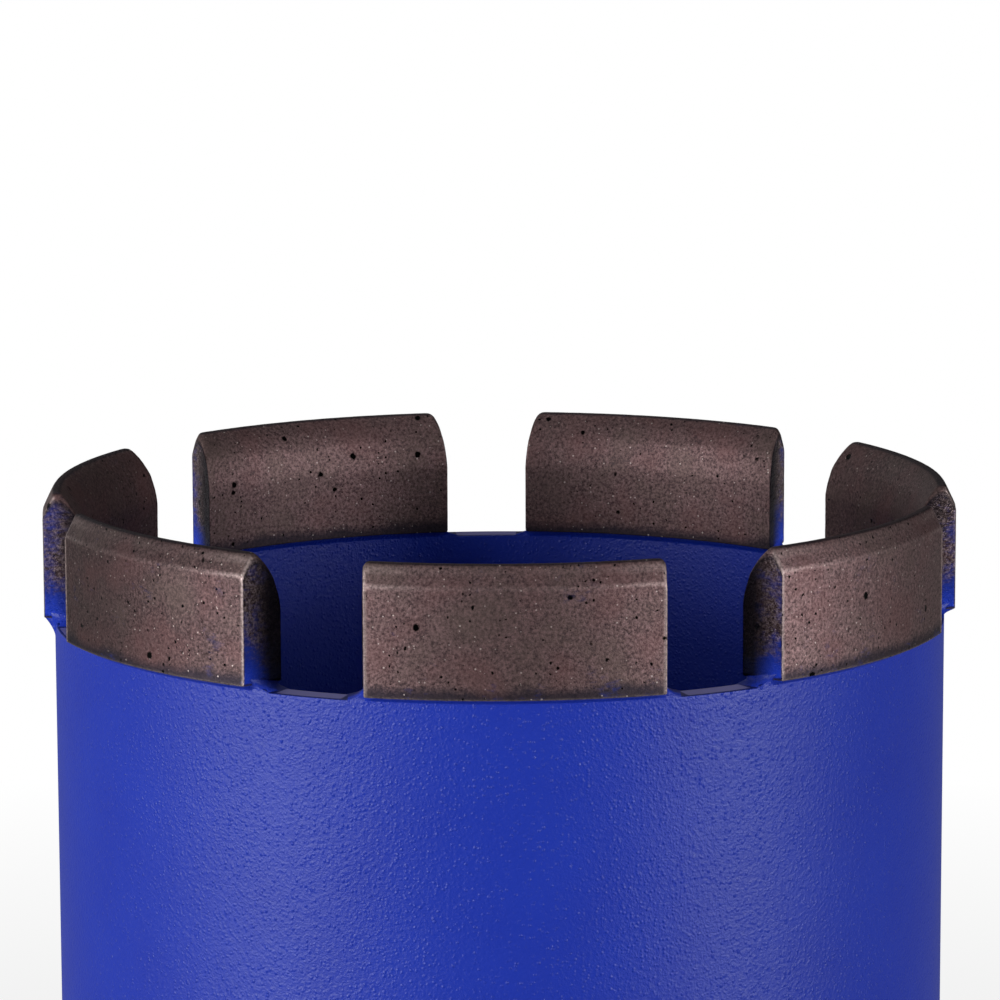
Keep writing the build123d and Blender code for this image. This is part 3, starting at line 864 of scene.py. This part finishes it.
for name, radii, heights, middle, ripples in (
    ("barrel_weld", crown_r, crown_z, barrel_foot_z, 150),
    ("hub_weld", fillet_r, fillet_z, plate_foot_z - HUB_WELD_LEG / 2, 72),
):
    plain = mesh_object(
        name + "_ring", turned_points(weld_angles, radii, heights),
        swept_quads(WELD_STATIONS, len(radii), closed=True),
    )
    weld = grow(plain, ripple_tree, {
        "Ripples": float(ripples), "Depth": RIPPLE_DEPTH * MM, "Middle Height": middle * MM,
        "Lag": RIPPLE_LAG, "Finish": powder_coat,
    }, name + "_bead")
    bpy.data.objects.remove(plain)
    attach(weld, "root")
    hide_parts(name)
    print(name, "points:", len(weld.data.vertices))

# %% [markdown]
# ## Spindle thread
# The hub's bore is cut with seven right-hand threads to the inch, one and a quarter inches across the roots
# and a little clearance. A bump could only pretend to be a thread, and it would vanish at the bore's edge.
# The tree sweeps the metal left between two turns of the groove, a trapezoid, along a spiral, and shrinks it
# over the first and last half turn, where the tap runs in and out.
# %% Thread tree
POINTS_PER_TURN, RUN_OUT_TURNS = 96, 0.5
RIDGE_CORNERS = ((-7 / 16, 0.0), (7 / 16, 0.0), (1 / 8, -1.0), (-1 / 8, -1.0))
thread_tree, given = new_tree("spindle_thread", {
    "Turns": "Float", "Pitch": "Float", "Root Radius": "Float", "Depth": "Float", "Start Height": "Float",
    "Finish": "Material",
}, "Thread")
climb = add(thread_tree, "ShaderNodeMath", {
    0: given.outputs["Turns"], 1: given.outputs["Pitch"],
}, operation="MULTIPLY")
spiral = add(thread_tree, "GeometryNodeCurveSpiral", {
    "Resolution": POINTS_PER_TURN, "Rotations": given.outputs["Turns"], "Height": climb.outputs[0],
    "Start Radius": given.outputs["Root Radius"], "End Radius": given.outputs["Root Radius"], "Reverse": True,
})
upright = add(thread_tree, "GeometryNodeSetCurveNormal", {0: spiral.outputs[0]}, mode="Z_UP")
corners = []
for pitch_share, depth_share in RIDGE_CORNERS:
    across_pitch = add(thread_tree, "ShaderNodeMath", {
        0: given.outputs["Pitch"], 1: pitch_share,
    }, operation="MULTIPLY")
    inward = add(thread_tree, "ShaderNodeMath", {
        0: given.outputs["Depth"], 1: depth_share,
    }, operation="MULTIPLY")
    corners.append(add(thread_tree, "ShaderNodeCombineXYZ", {
        0: inward.outputs[0], 1: across_pitch.outputs[0],
    }).outputs[0])
ridge = add(thread_tree, "GeometryNodeCurvePrimitiveQuadrilateral", mode="POINTS", inputs={
    f"Point {number}": corner for number, corner in enumerate(corners, start=1)
})
along = add(thread_tree, "GeometryNodeSplineParameter")
back = add(thread_tree, "ShaderNodeMath", {0: 1.0, 1: along.outputs["Factor"]}, operation="SUBTRACT")
nearest = add(thread_tree, "ShaderNodeMath", {
    0: along.outputs["Factor"], 1: back.outputs[0],
}, operation="MINIMUM")
turns_in = add(thread_tree, "ShaderNodeMath", {
    0: nearest.outputs[0], 1: given.outputs["Turns"],
}, operation="MULTIPLY")
fade = add(thread_tree, "ShaderNodeMapRange", {
    "Value": turns_in.outputs[0], "From Min": 0.0, "From Max": RUN_OUT_TURNS, "To Min": 0.05, "To Max": 1.0,
})
swept = add(thread_tree, "GeometryNodeCurveToMesh", {
    "Curve": upright.outputs[0], "Profile Curve": ridge.outputs[0], "Scale": fade.outputs[0],
    "Fill Caps": True,
})
lift = add(thread_tree, "ShaderNodeCombineXYZ", {2: given.outputs["Start Height"]})
lifted = add(thread_tree, "GeometryNodeTransform", {0: swept.outputs[0], "Translation": lift.outputs[0]})
flat_shaded = add(thread_tree, "GeometryNodeSetShadeSmooth", {0: lifted.outputs[0], "Shade Smooth": False})
close_tree(thread_tree, flat_shaded.outputs[0], given.outputs["Finish"])

# %% Cut the thread
THREAD_PITCH, THREAD_ROOT_R, THREAD_DEPTH = 25.4 / 7, 15.925, 2.0
THREAD_TURNS, THREAD_START = 9.4, 2.0
seed = mesh_object("thread_seed", [(0, 0, 0)], [])
thread = grow(seed, thread_tree, {
    "Turns": THREAD_TURNS, "Pitch": THREAD_PITCH * MM, "Root Radius": THREAD_ROOT_R * MM,
    "Depth": THREAD_DEPTH * MM, "Start Height": THREAD_START * MM, "Finish": turned_steel,
}, "hub_thread")
bpy.data.objects.remove(seed)
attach(thread, "root")
thread_places = np.array([v.co[:] for v in thread.data.vertices]) / MM
thread_radii = np.hypot(thread_places[:, 0], thread_places[:, 1])
print("thread radii", thread_radii.min().round(3), thread_radii.max().round(3))

# %% [markdown]
# ## CAD nodes that keep their own shape
# The plate and the hub are turned parts with flat faces and clean edges. They could be made again here, but
# they are right as they are in the CAD model, so they only take their finish.
# %% Finish the CAD nodes
for name, obj in nodes.items():
    finish = turned_steel if name == "hub" else powder_coat
    if name.startswith("segment"):
        finish = sintered
    obj.data.materials.clear()
    obj.data.materials.append(finish)
print("finished CAD nodes:", len(nodes))

# %% [markdown]
# ## Studio
# The bit stands in a white product studio. The ground is matt near the bit, so that it takes a soft shadow,
# and turns to plain white further out. The camera sees its white in full, reflections see it dimly, and it
# lights nothing.
# %% Floor
FLOOR_REACH, FLOOR_DROP = 8000, 0.02
floor_corners = [
    (x * FLOOR_REACH, y * FLOOR_REACH, -FLOOR_DROP) for x, y in ((-1, -1), (1, -1), (1, 1), (-1, 1))
]
floor = mesh_object("studio_floor", floor_corners, [(0, 1, 2, 3)], smooth=False)
floor_paint, tree, output, place = material("pale_floor")
path = add(tree, "ShaderNodeLightPath")
matt = add(tree, "ShaderNodeBsdfDiffuse", {"Color": linear("#E6E6E6")})
from_bit = add(tree, "ShaderNodeVectorMath", {0: place}, operation="LENGTH")
share = add(tree, "ShaderNodeMapRange", {
    "Value": from_bit.outputs[1], "From Min": 0.12, "From Max": 0.7, "To Min": 0.5, "To Max": 1.0,
})
dimly = add(tree, "ShaderNodeMath", {0: path.outputs["Is Glossy Ray"], 1: 0.2}, operation="MULTIPLY")
seen = add(tree, "ShaderNodeMath", {
    0: path.outputs["Is Camera Ray"], 1: dimly.outputs[0],
}, operation="MAXIMUM")
white = add(tree, "ShaderNodeEmission", {"Color": (1, 1, 1, 1), "Strength": seen.outputs[0]})
floor_mix = add(tree, "ShaderNodeMixShader", {0: share.outputs[0], 1: matt.outputs[0], 2: white.outputs[0]})
tree.links.new(floor_mix.outputs[0], output.inputs[0])
floor.data.materials.append(floor_paint)
print("floor ready")

# %% [markdown]
# The world is white to the camera alone. A plain white world would wash the coat and the bronze out, so what
# they reflect is a dim room that is brighter behind on the left and above the middle, with faint walls at
# both sides. The light that it sheds on dull surfaces is a weak fill from the left. A ray's direction picks
# between them.
# %% World
world = bpy.data.worlds.new("studio")
bpy.context.scene.world = world
world.use_nodes = True
tree = world.node_tree
tree.nodes.clear()
path = add(tree, "ShaderNodeLightPath")
direction = add(tree, "ShaderNodeSeparateXYZ", {0: add(tree, "ShaderNodeTexCoord").outputs["Generated"]})
behind = add(tree, "ShaderNodeMapRange", {
    "Value": direction.outputs[1], "From Min": -0.1, "From Max": 0.9, "To Min": 0.06, "To Max": 0.5,
})
leftwards = add(tree, "ShaderNodeMapRange", {
    "Value": direction.outputs[0], "From Min": -0.7, "From Max": -0.15, "To Min": 1.7, "To Max": 0.04,
})
behind = add(tree, "ShaderNodeMath", {0: behind.outputs[0], 1: leftwards.outputs[0]}, operation="MULTIPLY")
above = add(tree, "ShaderNodeMapRange", {
    "Value": direction.outputs[2], "From Min": 0.35, "From Max": 0.75, "To Min": 0.0, "To Max": 0.75,
})
off_centre = add(tree, "ShaderNodeMath", {0: direction.outputs[0]}, operation="ABSOLUTE")
centred = add(tree, "ShaderNodeMapRange", {
    "Value": off_centre.outputs[0], "From Max": 0.5, "To Min": 1.0, "To Max": 0.4,
})
above = add(tree, "ShaderNodeMath", {0: above.outputs[0], 1: centred.outputs[0]}, operation="MULTIPLY")
walls = add(tree, "ShaderNodeMapRange", {
    "Value": off_centre.outputs[0], "From Min": 0.6, "From Max": 0.95, "To Min": 0.0, "To Max": 0.17,
})
reflected = add(tree, "ShaderNodeMath", {0: behind.outputs[0], 1: above.outputs[0]}, operation="MAXIMUM")
reflected = add(tree, "ShaderNodeMath", {0: reflected.outputs[0], 1: walls.outputs[0]}, operation="MAXIMUM")
fill = add(tree, "ShaderNodeMapRange", {
    "Value": direction.outputs[0], "From Min": -1.0, "From Max": 0.7, "To Min": 0.52, "To Max": 0.0,
})
level = add(tree, "ShaderNodeMix", {
    0: path.outputs["Is Glossy Ray"], 2: fill.outputs[0], 3: reflected.outputs[0],
})
level = add(tree, "ShaderNodeMix", {0: path.outputs["Is Camera Ray"], 2: level.outputs[0], 3: 1.0})
sky = add(tree, "ShaderNodeBackground", {"Color": (1, 1, 1, 1), "Strength": level.outputs[0]})
add(tree, "ShaderNodeOutputWorld", {0: sky.outputs[0]})
print("world ready")

# %% [markdown]
# Two soft boxes give the two long highlights on the tube. They stand well to the left and right, a little
# higher than the crown, and the left one is wider and stronger. Glowing panels would do the same, but area
# lamps are sampled directly, so they leave less noise.
# %% Soft boxes
CAMERA_TURN = math.radians(1.9024)
BOX_DISTANCE, BOX_HEIGHT, AIM_HEIGHT = 0.9, 0.24, 0.12


def soft_box(name, turn_degrees, size, watts):
    """An area lamp that stands at an angle from the camera's side and faces the tube's upper half."""
    lamp = bpy.data.lights.new(name, "AREA")
    lamp.shape = "RECTANGLE"
    lamp.size, lamp.size_y = size
    lamp.energy = watts
    stand = bpy.data.objects.new(name, lamp)
    bpy.context.scene.collection.objects.link(stand)
    turn = math.radians(turn_degrees) - CAMERA_TURN
    stand.location = (BOX_DISTANCE * math.sin(turn), -BOX_DISTANCE * math.cos(turn), BOX_HEIGHT)
    aim = Vector((0, 0, AIM_HEIGHT)) - stand.location
    stand.rotation_euler = aim.to_track_quat("-Z", "Y").to_euler()


soft_box("left_soft_box", -56, (0.6, 0.4), 9.2)
soft_box("right_soft_box", 59, (0.32, 0.4), 6.8)
print("soft boxes placed")

# %% [markdown]
# ## Camera
# A long lens looks ten degrees down at the crown from just under half a metre, which keeps the segments'
# outlines nearly straight. Its turns are given in degrees, and its focal length as a share of the image's
# width.
# %% Place the camera
SENSOR_WIDTH, FOCAL_SHARE = 36.0, 5.3282
CAMERA_DISTANCE, CAMERA_ABOVE_FOOT = 0.471924, 0.093191
CAMERA_YAW, CAMERA_DOWN, CAMERA_ROLL = 0.0085, 10.0315, -0.199
camera_data = bpy.data.cameras.new("camera")
camera_data.sensor_width = SENSOR_WIDTH
camera_data.lens = FOCAL_SHARE * SENSOR_WIDTH
camera_data.clip_end = 100.0
camera = bpy.data.objects.new("camera", camera_data)
bpy.context.scene.collection.objects.link(camera)
bpy.context.scene.camera = camera
yaw, down, roll = (math.radians(degrees) for degrees in (CAMERA_YAW, CAMERA_DOWN, CAMERA_ROLL))
forward = Vector((math.sin(yaw) * math.cos(down), math.cos(yaw) * math.cos(down), -math.sin(down)))
level_right = Vector((math.cos(yaw), -math.sin(yaw), 0))
level_up = level_right.cross(forward)
right = level_right * math.cos(roll) + level_up * math.sin(roll)
up = level_up * math.cos(roll) - level_right * math.sin(roll)
look = Matrix((right, up, -forward)).transposed()
to_front = Matrix.Rotation(-CAMERA_TURN, 3, "Z")
camera.rotation_euler = (to_front @ look).to_euler()
camera.location = to_front @ Vector((0, -CAMERA_DISTANCE, foot_z * MM + CAMERA_ABOVE_FOOT))
print("camera at", [round(c, 4) for c in camera.location])

bpy.context.scene.view_settings.view_transform = "Standard"
print("closing")
